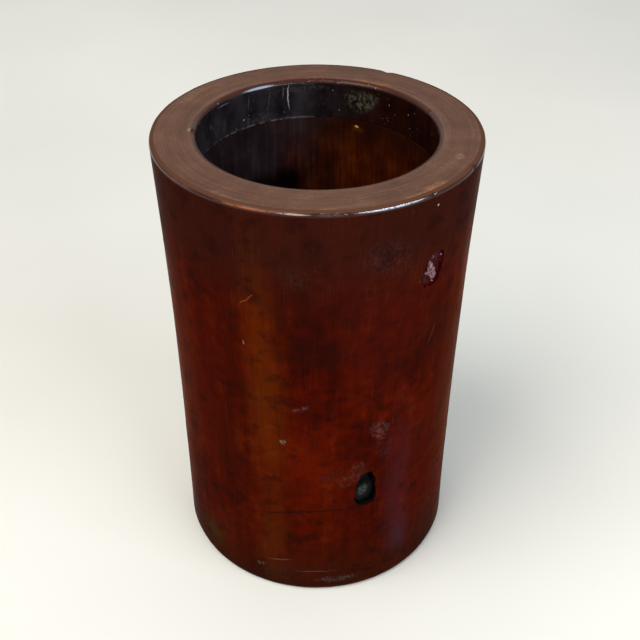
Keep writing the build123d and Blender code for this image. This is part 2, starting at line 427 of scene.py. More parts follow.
def coat_rows(back):
    """The rows of the coat's face, from the foot to over the rim's edge, or of its back."""
    heights = wall_heights(COAT_FOOT, WALL_TOP)
    insets = [COAT if back else 0.0] * len(heights)
    if not back:
        insets[0] = 0.22
        heights[1] = COAT_FOOT + 0.5
    rows = [("wall", z, inset) for z, inset in zip(heights, insets)]
    return rows + [("rim", d, coat_thickness(d) if back else 0.0) for d in range(0, 81, 16)]


face_rows = coat_rows(False)
red_lacquer_coat = revolve(
    "red_lacquer_coat", face_rows + coat_rows(True)[::-1], coat_point, range(len(face_rows)),
    [(BUD, bud_in_coat), (CHIP, chip_in_coat)], film=True)
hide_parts("outer_lacquer")

# Runs of lacquer inside the mouth: azimuth, half width in degrees, how far down they end.
RUNS = (
    (105, 0.7, 8.5), (112, 1.0, 6.0), (124, 0.8, 9.5), (142, 1.2, 7.0), (88, 0.9, 4.5), (73, 0.8, 7.5),
    (-35, 1.0, 8))


def mouth_point(row, azimuth):
    """The mouth's coat: its back against the wood, then its face with the runs."""
    kind, value, proud = row
    if kind == "lip":
        return lip_edge(azimuth, value, proud)
    radius = MOUTH_BORE + mouth_wander(azimuth) - proud
    if proud:
        for at, width, length in RUNS:
            end = 1 - smooth(HEIGHT - value, length - 1.5, length)
            radius -= 0.16 * hill(turn(azimuth, at), 0, width) * end
        radius += 0.05 * round_noise(azimuth, value, 14, 30, 11)
    return radius, value


mouth_heights = span(LEDGE, HEIGHT - LIP_ROUNDING - 0.3, 0.9)
mouth_rows = [("wall", z, 0.0) for z in mouth_heights] + [("lip", d, 0.0) for d in range(180, 114, -13)]
mouth_rows += [("lip", d, MOUTH_COAT * (1 - smooth(180 - d, 20, 68)) + 0.03) for d in range(115, 181, 13)]
mouth_rows += [("wall", z, MOUTH_COAT) for z in mouth_heights[::-1][:-1]]
mouth_rows += [("wall", LEDGE + 0.25, MOUTH_COAT + 0.06), ("wall", LEDGE + 0.05, MOUTH_COAT - 0.02)]
mouth_coat = revolve("mouth_coat", mouth_rows, mouth_point, range(0))
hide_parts("mouth_lacquer")


# -------------------- what fills the bud scar and the chip

def blob(mark, outline, centre, rings, vertices, faces):
    """Adds a closed lump to the lists: rings of (share, inset or a function of u, v) from back to face."""
    sides = 56
    first = len(vertices)
    for share, inset in rings:
        for n in range(sides):
            angle = 2 * math.pi * n / sides
            reach = outline(angle) * share
            u, v = centre[0] + reach * math.cos(angle), centre[1] + reach * math.sin(angle)
            vertices.append(mark.world(u, v, inset(u, v) if callable(inset) else inset))
    loops = [list(range(first + k * sides, first + (k + 1) * sides)) for k in range(len(rings))]
    for loop, ring in zip(loops, loops[1:]):
        faces += band(loop, ring)
    faces += [tuple(reversed(loops[0])), tuple(loops[-1])]


def stopping_face(u, v):
    """The bud scar's stopping: a lump in the pit with one broad, tilted facet."""
    lump = 0.5 + 0.035 * ((u + 1.2) ** 2 + 0.45 * (v - 1.5) ** 2) + 0.9 * smooth(v, 4.8, 6.4)
    facet = 0.95 + 0.1 * u - 0.06 * v
    return COAT + max(lump, facet) + 0.16 * noise.noise(Vector((u * 0.9, v * 0.9, 2)))


vertices, faces = [], []
stopping_rings = [(0.88, COAT + 3.1), (0.9, COAT + 2.0)]
stopping_rings += [(share, stopping_face) for share in (0.93, 0.84, 0.7, 0.54, 0.36, 0.18)]
blob(BUD, bud_outline, (0, 0), stopping_rings, vertices, faces)
bud_stopping = add_piece("bud_scar_stopping", vertices, faces)
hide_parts("bud_scar_fill")

# The filler's smear: a spike above a broad, two-legged body with a spur on its left.
filler_outline = outline_through(
    ((-100, 1.7), (-75, 3.0), (-55, 3.8), (-38, 3.1), (-10, 2.0), (30, 1.7), (62, 2.0), (84, 2.9), (100, 4.3),
     (114, 2.9), (148, 1.6), (177, 2.3), (205, 1.5), (240, 1.4)),
    0.18, 3.0, 21)
fleck_outline = outline_through(((-90, 0.4), (0, 0.2), (90, 0.42), (180, 0.22)), 0.5, 1.5, 33)


def filler_face(u, v):
    """The filler's crumbly face, a little below the lacquer."""
    coarse = noise.noise(Vector((u * 1.6, v * 1.6, 5)))
    fine = noise.noise(Vector((u * 4, v * 4, 6)))
    return 0.3 - (0.22 * coarse + 0.12 * fine)


vertices, faces = [], []
filler_rings = [(0.95, 0.8), (1.0, 0.6)] + [(share, filler_face) for share in (0.93, 0.8, 0.62, 0.42, 0.2)]
blob(CHIP, filler_outline, (-0.3, -1.6), filler_rings, vertices, faces)
for fleck in ((-4.6, -3.5), (3.7, 2.8), (0.2, 3.5), (0.8, -5.3)):
    blob(CHIP, fleck_outline, fleck, [(0.9, 0.75), (1.0, 0.4), (0.6, 0.16)], vertices, faces)
chip_filler = add_piece("chip_filler", vertices, faces)
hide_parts("chip_fill")


# -------------------- material helpers

def srgb(red, green, blue):
    """A colour given as it looks on a screen, 0 to 255, as the linear one that shaders take."""
    def linear(value):
        share = value / 255
        return share / 12.92 if share <= 0.04045 else ((share + 0.055) / 1.055) ** 2.4
    return linear(red), linear(green), linear(blue), 1.0


class Finish:
    """One material's node tree. Coordinates are millimetres in the cup's frame."""

    def __init__(self, name, constants):
        self.material = bpy.data.materials.new(name)
        self.material.use_nodes = True
        self.tree = self.material.node_tree
        self.shader = self.tree.nodes["Principled BSDF"]
        for socket, value in constants.items():
            self.shader.inputs[socket].default_value = value
        position = self.node("ShaderNodeTexCoord").outputs["Object"]
        self.place = self.scaled(position, (1 / MM,) * 3, (0, 0, 0))
        cloud = self.noise_colour((0.16, 0.16, 0.11), 5, 31)
        self.ragged = self.shifted(cloud, 5.0)

    def node(self, kind, **settings):
        """A new node with those settings."""
        made = self.tree.nodes.new(kind)
        for name, value in settings.items():
            setattr(made, name, value)
        return made

    def feed(self, value, socket):
        """Links an output to a socket, or sets the socket to a plain value."""
        if isinstance(value, bpy.types.NodeSocket):
            self.tree.links.new(value, socket)
        else:
            socket.default_value = value

    def scaled(self, vector, scale, offset):
        """The vector scaled and then offset."""
        mapping = self.node("ShaderNodeMapping", vector_type="POINT")
        self.feed(vector, mapping.inputs["Vector"])
        mapping.inputs["Scale"].default_value = scale
        mapping.inputs["Location"].default_value = offset
        return mapping.outputs["Vector"]

    def noise_node(self, frequency, detail, seed, vector=None):
        """A noise texture with that many cells a millimetre along each axis."""
        offset = (seed * 7.3, seed * 3.1, seed * 5.7)
        texture = self.node("ShaderNodeTexNoise")
        self.feed(self.scaled(vector or self.place, frequency, offset), texture.inputs["Vector"])
        texture.inputs["Scale"].default_value = 1.0
        texture.inputs["Detail"].default_value = detail
        texture.inputs["Roughness"].default_value = 0.55
        return texture

    def noise(self, frequency, detail, seed, vector=None):
        """Noise from 0 to 1."""
        return self.noise_node(frequency, detail, seed, vector).outputs["Fac"]

    def noise_colour(self, frequency, detail, seed):
        """Three noises at once, as a colour."""
        return self.noise_node(frequency, detail, seed).outputs["Color"]

    def shifted(self, colour, reach):
        """The place, moved by up to about half of reach by a noise colour."""
        centred = self.node("ShaderNodeVectorMath", operation="SUBTRACT")
        self.feed(colour, centred.inputs[0])
        centred.inputs[1].default_value = (0.5, 0.5, 0.5)
        moved = self.node("ShaderNodeVectorMath", operation="MULTIPLY_ADD")
        self.feed(centred.outputs["Vector"], moved.inputs[0])
        moved.inputs[1].default_value = (reach, reach, reach)
        self.feed(self.place, moved.inputs[2])
        return moved.outputs["Vector"]

    def sum(self, operation, first, second=0.0, third=0.0):
        """One arithmetic node."""
        made = self.node("ShaderNodeMath", operation=operation)
        for value, socket in zip((first, second, third), made.inputs):
            self.feed(value, socket)
        return made.outputs["Value"]

    def times(self, *factors):
        """The product of several values."""
        product = factors[0]
        for factor in factors[1:]:
            product = self.sum("MULTIPLY", product, factor)
        return product

    def step(self, value, low, high, start=0.0, end=1.0):
        """Smooth from start at low to end at high."""
        made = self.node("ShaderNodeMapRange", interpolation_type="SMOOTHSTEP")
        for item, socket in zip((value, low, high, start, end), made.inputs):
            self.feed(item, socket)
        return made.outputs["Result"]

    def part(self, vector, axis):
        """One of a vector's coordinates: X, Y or Z."""
        made = self.node("ShaderNodeSeparateXYZ")
        self.feed(vector, made.inputs["Vector"])
        return made.outputs[axis]

    def mixed(self, share, first, second):
        """A mix of two colours."""
        made = self.node("ShaderNodeMix", data_type="RGBA")
        self.feed(share, made.inputs["Factor"])
        self.feed(first, made.inputs[6])
        self.feed(second, made.inputs[7])
        return made.outputs[2]

    def ramp(self, value, stops):
        """A colour ramp through (position, colour) stops."""
        made = self.node("ShaderNodeValToRGB")
        self.feed(value, made.inputs["Fac"])
        elements = made.color_ramp.elements
        while len(elements) < len(stops):
            elements.new(0.5)
        for element, (position, colour) in zip(elements, stops):
            element.position = position
            element.color = colour
        return made.outputs["Color"]

    def oval(self, vector, centre, rotation, half_sizes, soft):
        """1 inside an oval block, fading to 0 at its edge over the soft share of its size."""
        local = self.node("ShaderNodeMapping", vector_type="TEXTURE")
        self.feed(vector, local.inputs["Vector"])
        local.inputs["Location"].default_value = centre
        local.inputs["Rotation"].default_value = rotation
        local.inputs["Scale"].default_value = half_sizes
        gradient = self.node("ShaderNodeTexGradient", gradient_type="SPHERICAL")
        self.feed(local.outputs["Vector"], gradient.inputs["Vector"])
        return self.step(gradient.outputs["Fac"], 0.0, soft)

    def mark(self, azimuth, z, half_width, half_height, lean=0.0, radius=OUTSIDE_RADIUS, depth=14.0,
             soft=0.6, vector=None):
        """The mask of an oval on a wall of that radius, leaning by that angle."""
        a, turned = math.radians(azimuth), math.radians(lean)
        right, up = Vector((-math.sin(a), math.cos(a), 0)), Vector((0, 0, 1))
        across = right * math.cos(turned) + up * math.sin(turned)
        along = up * math.cos(turned) - right * math.sin(turned)
        axes = Matrix((across, along, across.cross(along))).transposed()
        half_sizes = (half_width, half_height, max(depth, half_width))
        return self.oval(vector or self.ragged, polar(azimuth, radius, z), axes.to_euler(), half_sizes, soft)

    def painted(self, colour, marks, crumble=1.0, radius=OUTSIDE_RADIUS, soft=0.6, vector=None):
        """The colour with a list of marks over it.

        A mark is its azimuth, z, half width, half height, lean, colour and strength.
        """
        for azimuth, z, half_width, half_height, lean, paint, strength in marks:
            mask = self.mark(azimuth, z, half_width, half_height, lean, radius, soft=soft, vector=vector)
            colour = self.mixed(self.times(mask, strength, crumble), colour, paint)
        return colour

    def rubbed(self, colour, spots, crumble):
        """The colour with rubbed spots and painted sheen on the rim.

        A spot is its azimuth, radius, half width, half reach, colour and strength.
        """
        for azimuth, radius, half_width, half_reach, paint, strength in spots:
            centre, rotation = polar(azimuth, radius, HEIGHT), (0, 0, math.radians(azimuth))
            spot = self.oval(self.ragged, centre, rotation, (half_reach, half_width, 6.0), 0.5)
            colour = self.mixed(self.times(spot, strength, crumble), colour, paint)
        return colour

    def bump(self, *layers):
        """Bumps stacked on the shader's normal: each layer is a height and its depth in millimetres."""
        normal = None
        for height, depth in layers:
            made = self.node("ShaderNodeBump")
            made.inputs["Distance"].default_value = depth * MM
            self.feed(height, made.inputs["Height"])
            if normal is not None:
                self.feed(normal, made.inputs["Normal"])
            normal = made.outputs["Normal"]
        self.feed(normal, self.shader.inputs["Normal"])

    def finish(self, colour, roughness):
        """Sets the shader's colour and roughness, and gives the material."""
        self.feed(colour, self.shader.inputs["Base Color"])
        self.feed(roughness, self.shader.inputs["Roughness"])
        return self.material


def dress(piece, material):
    """Gives a piece its one material."""
    piece.data.materials.clear()
    piece.data.materials.append(material)


# -------------------- the red lacquer

# Broad tones of the wall, some of them painted reflections: azimuth, height, half width, half height, lean,
# colour, strength.
RED_TONES_AND_REFLECTIONS = (
    (-94, 62, 15, 28, 0, srgb(90, 19, 2), 0.5),
    (-84, 18, 22, 22, 0, srgb(52, 13, 4), 0.55),
    (-86, 42, 11, 16, 0, srgb(58, 12, 2), 0.5),
    (-124, 96, 12, 72, 0, srgb(44, 9, 2), 0.65),
    (-44, 114, 14, 32, 0, srgb(44, 12, 5), 0.6),
    (-96, 124, 14, 25, 3, srgb(32, 9, 6), 0.65),
    (-88, 110, 16, 11, 0, srgb(34, 9, 7), 0.6),
    (-80, 126, 14, 22, 0, srgb(40, 10, 7), 0.45),
    (-66, 112, 21, 40, 4, srgb(56, 15, 12), 0.5),
    # Painted reflection: the amber band down the left of the front, in two parts.
    (-109, 96, 10, 72, 2, srgb(88, 38, 6), 0.65),
    (-108, 26, 10, 40, 0, srgb(72, 31, 7), 0.6),
    (-122, 40, 12, 52, 0, srgb(48, 10, 2), 0.6),
    (-131, 60, 8, 22, 0, srgb(46, 10, 2), 0.6),
    # Painted reflection: the purple sheen down the right of the front, in two parts.
    (-55, 44, 10, 56, 0, srgb(66, 24, 26), 0.75),
    (-53, 20, 8, 16, 0, srgb(58, 33, 40), 0.7),
    (-42, 60, 10, 60, 0, srgb(72, 14, 3), 0.55),
    # Painted reflections: pale amber strips near the right side of the view.
    (-30, 76, 9, 86, 0, srgb(78, 28, 5), 0.55),
    (-19, 84, 11, 96, 0, srgb(98, 48, 12), 0.65),
    (-138, 84, 10, 76, 0, srgb(66, 12, 1), 0.5),
    # Painted reflections: pale amber strips near the left side of the view.
    (-149, 84, 10, 80, 0, srgb(78, 25, 3), 0.6),
    (-161, 84, 11, 88, 0, srgb(90, 41, 8), 0.7),
    (-141, 12, 11, 11, 0, srgb(58, 44, 18), 0.65),
    (-36, 16, 12, 20, 0, srgb(54, 22, 14), 0.6),
    (60, 90, 26, 70, 0, srgb(84, 32, 9), 0.45),
    (110, 50, 28, 50, 0, srgb(66, 13, 4), 0.5),
    (20, 120, 20, 34, 0, srgb(36, 10, 6), 0.5),
    (160, 110, 18, 50, 0, srgb(46, 14, 8), 0.5),
)

# Smudges, bloom, rubbed places and painted glints: the same, but crumbled at their edges.
RED_SMUDGES_AND_GLINTS = (
    (-65.6, 76, 5.0, 5.0, 20, srgb(84, 74, 80), 0.75),
    (-63, 68, 4.0, 8.0, 10, srgb(58, 40, 46), 0.7),
    (-95.5, 89, 5.0, 1.5, 25, srgb(82, 72, 74), 0.9),
    # A painted glint on a small dent.
    (-102.8, 73.8, 1.5, 1.2, 0, srgb(130, 122, 118), 1.0),
    (-77, 55.0, 6.0, 3.8, 15, srgb(74, 56, 48), 0.65),
    (-84, 59, 6.0, 4.0, 10, srgb(48, 34, 32), 0.8),
    (-74, 60, 3.5, 4.5, 0, srgb(80, 62, 54), 0.65),
    (-71, 58, 2.5, 3.0, 0, srgb(30, 22, 24), 0.8),
    (-81, 5.5, 9.0, 2.8, 0, srgb(84, 82, 80), 0.85),
    (-104, 8, 12, 5, 8, srgb(44, 34, 28), 0.7),
    (-92, 12, 14, 5, 0, srgb(40, 26, 22), 0.6),
    # A painted glint on a small dent.
    (-113.2, 10.6, 2.4, 1.6, 0, srgb(130, 118, 106), 0.8),
    (-130, 24, 9, 9, 0, srgb(36, 25, 16), 0.6),
    (-118, 60, 9, 10, 0, srgb(38, 15, 10), 0.5),
    (-66, 144, 11, 8, 4, srgb(58, 46, 48), 0.55),
    (-97, 139, 7, 6, 0, srgb(56, 40, 34), 0.5),
    (-100, 146, 20, 7, 0, srgb(30, 13, 10), 0.6),
    (-60, 138, 9, 5, 0, srgb(78, 34, 22), 0.5),
    (40, 30, 12, 12, 0, srgb(44, 26, 20), 0.6),
    (140, 100, 14, 20, 0, srgb(60, 36, 24), 0.5),
    (90, 140, 18, 8, 0, srgb(30, 14, 12), 0.6),
    (0, 70, 6, 20, 0, srgb(96, 48, 20), 0.5),
)

# Painted highlights along the rim's outer edge: the same again.
EDGE_HIGHLIGHTS = (
    (-66, 160.15, 13, 0.34, 0, srgb(190, 196, 210), 0.85),
    (-112, 160.15, 12, 0.3, 0, srgb(170, 92, 40), 0.7),
    (-97, 160.15, 6, 0.3, 0, srgb(196, 172, 152), 0.7),
    (-86, 160.0, 5, 0.5, 0, srgb(76, 70, 66), 0.6),
    (-140, 160.15, 9, 0.3, 0, srgb(120, 76, 48), 0.5),
)

# Hair-thin scratches that show the wood, and one painted glint: azimuth, height, half width, half height,
# lean, colour, strength.
RED_SCRATCHES_AND_A_GLINT = (
    (-113.5, 128.4, 0.3, 4.6, -52, srgb(130, 62, 26), 0.8),
    # A painted glint on a small dent, not a scratch.
    (-116.4, 112, 0.3, 1.2, 20, srgb(150, 110, 90), 0.8),
    (-105, 14.6, 0.3, 6, -80, srgb(110, 82, 62), 0.6),
    (-90, 10.5, 0.3, 9, -86, srgb(96, 72, 58), 0.5),
    (-44, 108, 0.3, 5, -20, srgb(110, 60, 40), 0.5),
    (-48.5, 156, 0.4, 0.45, 0, srgb(180, 168, 164), 0.9),
    (30, 110, 0.3, 8, 30, srgb(120, 70, 44), 0.6),
    (150, 60, 0.3, 7, -40, srgb(120, 70, 44), 0.6),
    (95, 84, 0.3, 10, 12, srgb(112, 66, 40), 0.6),
)


def red_lacquer():
    """Old, thin red lacquer over bamboo: mottled, streaked along the fibres, dark towards the rim, with
    painted reflections, glints and highlights.
    """
    finish = Finish("red_lacquer", {
        "Specular IOR Level": 0.0005, "Specular Tint": (1.0, 0.1, 0.03, 1.0), "Coat Roughness": 0.06})
    clouds = finish.noise((0.05, 0.05, 0.028), 5, 1)
    streaks = finish.noise((0.3, 0.3, 0.035), 5, 2)
    fibres = finish.noise((1.7, 1.7, 0.03), 4, 3)
    mottle = finish.noise((0.22, 0.22, 0.26), 6, 4)
    tone = finish.sum("MULTIPLY_ADD", clouds, 0.42, finish.times(streaks, 0.2))
    tone = finish.sum("MULTIPLY_ADD", mottle, 0.28, tone)
    tone = finish.sum("MULTIPLY_ADD", fibres, 0.1, tone)
    colour = finish.ramp(tone, [
        (0.38, srgb(40, 6, 3)), (0.46, srgb(60, 9, 1)), (0.53, srgb(74, 13, 1)), (0.61, srgb(90, 26, 3))])
    height = finish.part(finish.ragged, "Z")
    colour = finish.mixed(finish.step(height, 118, 146, 0, 0.85), colour, srgb(46, 18, 12))
    colour = finish.mixed(finish.step(height, 30, 3, 0, 0.75), colour, srgb(44, 17, 6))
    patchy = finish.step(finish.noise((0.16, 0.16, 0.06), 5, 13), 0.3, 0.6, 0.65, 1)
    # The wall's tones, with the painted reflections among them.
    colour = finish.painted(colour, RED_TONES_AND_REFLECTIONS, patchy, soft=1.0)
    dark = finish.step(finish.noise((0.13, 0.13, 0.17), 7, 10), 0.52, 0.68, 0, 0.55)
    colour = finish.mixed(dark, colour, srgb(30, 9, 6))
    crumble = finish.step(finish.noise((0.9, 0.9, 1.0), 7, 11), 0.4, 0.7)
    speckle = finish.step(finish.noise((3.6, 3.6, 3.6), 3, 9), 0.38, 0.6, 0.2, 1)
    colour = finish.painted(colour, RED_SMUDGES_AND_GLINTS, finish.times(crumble, speckle))
    dark_fibres = finish.step(fibres, 0.52, 0.72, 0, 0.35)
    colour = finish.mixed(dark_fibres, colour, srgb(30, 8, 5))
    light_fibres = finish.step(finish.noise((2.4, 2.4, 0.05), 3, 5), 0.6, 0.76, 0, 0.18)
    colour = finish.mixed(light_fibres, colour, srgb(110, 52, 26))
    grime = finish.node("ShaderNodeAttribute", attribute_name="node_grime").outputs["Fac"]
    held = finish.step(finish.noise((0.1, 0.1, 0.1), 3, 12), 0.35, 0.6, 0.35, 0.85)
    colour = finish.mixed(finish.times(grime, held), colour, srgb(20, 8, 6))
    specks = finish.step(finish.noise((1.3, 1.3, 1.1), 4, 8), 0.72, 0.77, 0, 0.5)
    colour = finish.mixed(specks, colour, srgb(110, 84, 76))
    colour = finish.painted(colour, RED_SCRATCHES_AND_A_GLINT)
    roughness = finish.step(finish.noise((0.09, 0.09, 0.05), 4, 6), 0.3, 0.7, 0.18, 0.34)
    roughness = finish.sum("MULTIPLY_ADD", fibres, 0.1, roughness)
    grain = finish.noise((0.5, 0.5, 0.4), 4, 7)
    finish.bump((streaks, 0.1), (fibres, 0.03), (grain, 0.08))
    z = finish.part(finish.place, "Z")
    rubbed = finish.step(finish.sum("MULTIPLY_ADD", mottle, 0.5, z), HEIGHT - 0.5, HEIGHT - 0.1)
    colour = finish.mixed(rubbed, colour, srgb(84, 56, 43))
    roughness = finish.sum("MULTIPLY_ADD", rubbed, 0.4, roughness)
    # Painted highlights along the rim's outer edge, broken up.
    broken = finish.step(finish.noise((0.8, 0.8, 0.8), 4, 15), 0.32, 0.5, 0.3, 1)
    colour = finish.painted(colour, EDGE_HIGHLIGHTS, broken, vector=finish.place)
    edge = finish.step(z, HEIGHT - 1.9, HEIGHT - 0.9, 0.012, 1.0)
    edge = finish.times(edge, finish.sum("SUBTRACT", 1.0, rubbed))
    finish.feed(edge, finish.shader.inputs["Coat Weight"])
    return finish.finish(colour, roughness)


def note_node(piece):
    """Writes on the mesh how much grime the node's groove holds at each point."""
    grime = piece.data.attributes.new("node_grime", "FLOAT", "POINT")
    amounts = []
    for vertex in piece.data.vertices:
        x, y, z = vertex.co / MM
        azimuth = math.degrees(math.atan2(y, x))
        amounts.append(hill(z, node_line(azimuth), 0.45) * node_strength(azimuth))
    grime.data.foreach_set("value", amounts)


note_node(red_lacquer_coat)
dress(red_lacquer_coat, red_lacquer())


# -------------------- the bamboo

# Rubbed places on the rim, and a painted sheen: azimuth, radius, half width, half reach, colour, strength.
RIM_WEAR_AND_SHEEN = (
    (-48, 50, 6, 2.6, srgb(134, 92, 64), 0.8),
    (-56, 50.5, 7, 1.4, srgb(134, 94, 68), 0.6),
    (-24, 46.5, 3, 2.0, srgb(130, 102, 86), 0.5),
    (-86, 50.4, 6, 1.2, srgb(124, 84, 60), 0.6),
    (-177, 39.4, 1.6, 1.2, srgb(150, 122, 104), 0.8),
    (-120, 50, 9, 1.4, srgb(120, 88, 70), 0.5),
    (104, 39.6, 16, 1.0, srgb(96, 46, 24), 0.7),
    # Painted sheen over worn lacquer on the back of the lip.
    (62, 39.4, 9, 1.0, srgb(140, 78, 28), 0.8),
    (150, 48, 12, 2.4, srgb(112, 86, 70), 0.5),
)

# Marks on the bore: azimuth, height, half width, half height, lean, colour, strength.
BORE_MARKS = (
    # A near-black patch low on the back of the bore.
    (107, 122, 7, 8, 0, srgb(5, 2, 1), 0.9),
    (67.6, 143.8, 2.4, 1.8, 0, srgb(70, 34, 2), 0.7),
    (67.6, 144.6, 0.9, 0.7, 0, srgb(200, 160, 80), 0.9),
)


def bamboo():
    """The bare bamboo: end grain on the rim, a stained bore partly painted with light and reflection, and the
    chip's and bud scar's pits.
    """
    finish = Finish("bamboo", {"Specular IOR Level": 0.06, "Coat Roughness": 0.12})
    x, y, z = (finish.part(finish.place, axis) for axis in "XYZ")
    radius = finish.sum("SQRT", finish.sum("MULTIPLY_ADD", x, x, finish.times(y, y)))
    rings = finish.node("ShaderNodeCombineXYZ")
    finish.feed(finish.times(x, 0.05), rings.inputs["X"])
    finish.feed(finish.times(y, 0.05), rings.inputs["Y"])
    finish.feed(finish.times(radius, 1.1), rings.inputs["Z"])
    ring_grain = finish.noise((1, 1, 1), 4, 11, rings.outputs["Vector"])
    pores = finish.noise((2.2, 2.2, 0.3), 3, 12)
    blotches = finish.noise((0.12, 0.12, 0.12), 5, 13)
    tone = finish.sum("MULTIPLY_ADD", ring_grain, 0.3, finish.times(blotches, 0.4))
    tone = finish.sum("MULTIPLY_ADD", pores, 0.3, tone)
    rim = finish.ramp(tone, [
        (0.36, srgb(74, 51, 40)), (0.46, srgb(86, 60, 48)), (0.55, srgb(96, 69, 55)),
        (0.66, srgb(112, 83, 66))])
    crumble = finish.step(finish.noise((0.9, 0.9, 0.9), 6, 18), 0.36, 0.62, 0.3, 1)
    rim = finish.rubbed(rim, RIM_WEAR_AND_SHEEN, crumble)
    streaks = finish.noise((0.9, 0.9, 0.05), 5, 14)
    wash = finish.noise((0.08, 0.08, 0.03), 4, 15)
    cloudy = finish.noise((0.12, 0.12, 0.1), 6, 17)
    stain = finish.sum("MULTIPLY_ADD", streaks, 0.4, finish.times(cloudy, 0.6))
    # The bore's stain with painted light: purple-grey on the left is partly a painted reflection, amber on
    # the right partly painted light falling from the left.
    purple = finish.ramp(stain, [
        (0.36, srgb(20, 13, 14)), (0.52, srgb(34, 23, 25)), (0.66, srgb(50, 37, 39))])
    amber = finish.ramp(stain, [
        (0.36, srgb(36, 8, 0)), (0.5, srgb(60, 18, 0)), (0.66, srgb(88, 38, 0))])
    side = finish.sum("MULTIPLY_ADD", finish.sum("SUBTRACT", wash, 0.5), 60, x)
    amber = finish.mixed(finish.step(z, LEDGE - 16, LEDGE, 0, 0.8), amber, srgb(28, 7, 2))
    bare = finish.mixed(finish.step(side, -22, 14), purple, amber)
    bare = finish.painted(bare, BORE_MARKS, radius=BORE_TOP)
    colour = finish.mixed(finish.step(z, HEIGHT - 1.6, HEIGHT - 0.7), bare, rim)
    pit = finish.mark(CHIP.azimuth, CHIP.z, 9, 10, 0, soft=0.2, vector=finish.place)
    bud = finish.mark(BUD.azimuth, BUD.z + 2, 9, 13, 0, soft=0.2, vector=finish.place)
    outer = finish.step(radius, 44, 45)
    torn = finish.noise((1.2, 1.2, 1.2), 4, 16)
    crater = finish.ramp(torn, [(0.4, srgb(26, 0, 2)), (0.62, srgb(74, 6, 8))])
    colour = finish.mixed(finish.times(pit, outer), colour, crater)
    colour = finish.mixed(finish.times(bud, outer), colour, srgb(14, 10, 10))
    roughness = finish.step(blotches, 0.3, 0.7, 0.5, 0.72)
    lip = finish.times(finish.step(z, HEIGHT - 1.4, HEIGHT - 0.5), finish.step(radius, 41.2, 40.0))
    finish.feed(finish.times(lip, 0.1), finish.shader.inputs["Coat Weight"])
    finish.bump((streaks, 0.08), (ring_grain, 0.04), (pores, 0.05))
    return finish.finish(colour, roughness)


dress(bamboo_wall, bamboo())


# -------------------- the mouth's dark lacquer

# Pale runs, and crumbled bloom and mould: azimuth, height, half width, half height, lean, colour, strength.
MOUTH_RUNS = (
    (105, 155.5, 0.34, 5.6, 0, srgb(176, 172, 176), 0.75),
    (108.5, 157, 0.26, 3.0, 0, srgb(110, 108, 112), 0.5),
    (117, 155, 0.3, 5.0, 0, srgb(76, 72, 76), 0.5),
    (128, 156, 0.35, 3.4, 0, srgb(76, 70, 74), 0.5),
    (67.6, 145.2, 0.8, 0.5, 0, srgb(170, 130, 60), 0.9),
)
MOUTH_BLOOM = (
    (67, 154.5, 8, 5, 0, srgb(82, 84, 68), 0.7),
    (60, 156, 3, 2.4, 0, srgb(72, 72, 60), 0.6),
    (124, 149.5, 9, 2.4, 0, srgb(70, 66, 70), 0.5),
    (100, 158, 14, 1.6, 0, srgb(66, 58, 60), 0.5),
    (150, 152, 5, 4, 0, srgb(60, 58, 62), 0.5),
    (-40, 152, 9, 4, 0, srgb(70, 62, 60), 0.5),
)

# Painted highlights along the lip, in two lengths: the same again.
MOUTH_HIGHLIGHTS = (
    (122, 160.0, 7.5, 0.45, 0, srgb(150, 164, 186), 0.9),
    (146, 158.8, 4, 0.4, 0, srgb(90, 100, 116), 0.6),
)


def dark_lacquer():
    """The blackish, glossy lacquer that lines the mouth, with runs, bloom, a painted reflection on its left,
    a painted highlight on its ledge and painted highlights along the lip.
    """
    finish = Finish("dark_lacquer", {"Specular IOR Level": 0.12, "Coat Weight": 0.05, "Coat Roughness": 0.08})
    x, z = finish.part(finish.place, "X"), finish.part(finish.place, "Z")
    clouds = finish.noise((0.13, 0.13, 0.1), 5, 21)
    # Bluish grey on the left, partly a painted reflection; reddish black on the right.
    left = finish.ramp(clouds, [(0.35, srgb(20, 17, 19)), (0.65, srgb(42, 38, 42))])
    right = finish.ramp(clouds, [(0.35, srgb(20, 6, 4)), (0.65, srgb(36, 12, 6))])
    colour = finish.mixed(finish.step(x, -8, 24), left, right)
    crumble = finish.step(finish.noise((0.9, 0.9, 0.7), 6, 25), 0.38, 0.66)
    colour = finish.painted(colour, MOUTH_RUNS, radius=MOUTH_FACE_RADIUS)
    colour = finish.painted(colour, MOUTH_BLOOM, crumble, radius=MOUTH_FACE_RADIUS)
    # A painted highlight along the ledge on the back, broken up.
    ledge = finish.step(z, LEDGE + 0.9, LEDGE + 0.2)
    broken = finish.step(finish.noise((0.35, 0.35, 0.35), 3, 22), 0.4, 0.55)
    back = finish.mark(122, LEDGE, 26, 6, radius=MOUTH_FACE_RADIUS, depth=16, soft=0.5)
    colour = finish.mixed(finish.times(ledge, broken, back, 0.6), colour, srgb(120, 112, 108))
    lip = finish.step(z, HEIGHT - 1.6, HEIGHT - 0.8)
    colour = finish.mixed(finish.times(lip, 0.85), colour, srgb(66, 36, 26))
    # Painted highlights along the lip.
    colour = finish.painted(colour, MOUTH_HIGHLIGHTS, radius=38.0, vector=finish.place)
    specks = finish.step(finish.noise((0.9, 0.9, 0.9), 3, 23), 0.7, 0.74, 0, 0.8)
    colour = finish.mixed(specks, colour, srgb(150, 146, 146))
    roughness = finish.step(clouds, 0.3, 0.7, 0.16, 0.36)
    finish.bump((clouds, 0.3), (finish.noise((0.8, 0.8, 0.3), 4, 24), 0.06))
    return finish.finish(colour, roughness)


dress(mouth_coat, dark_lacquer())


# -------------------- the stopping and the filler

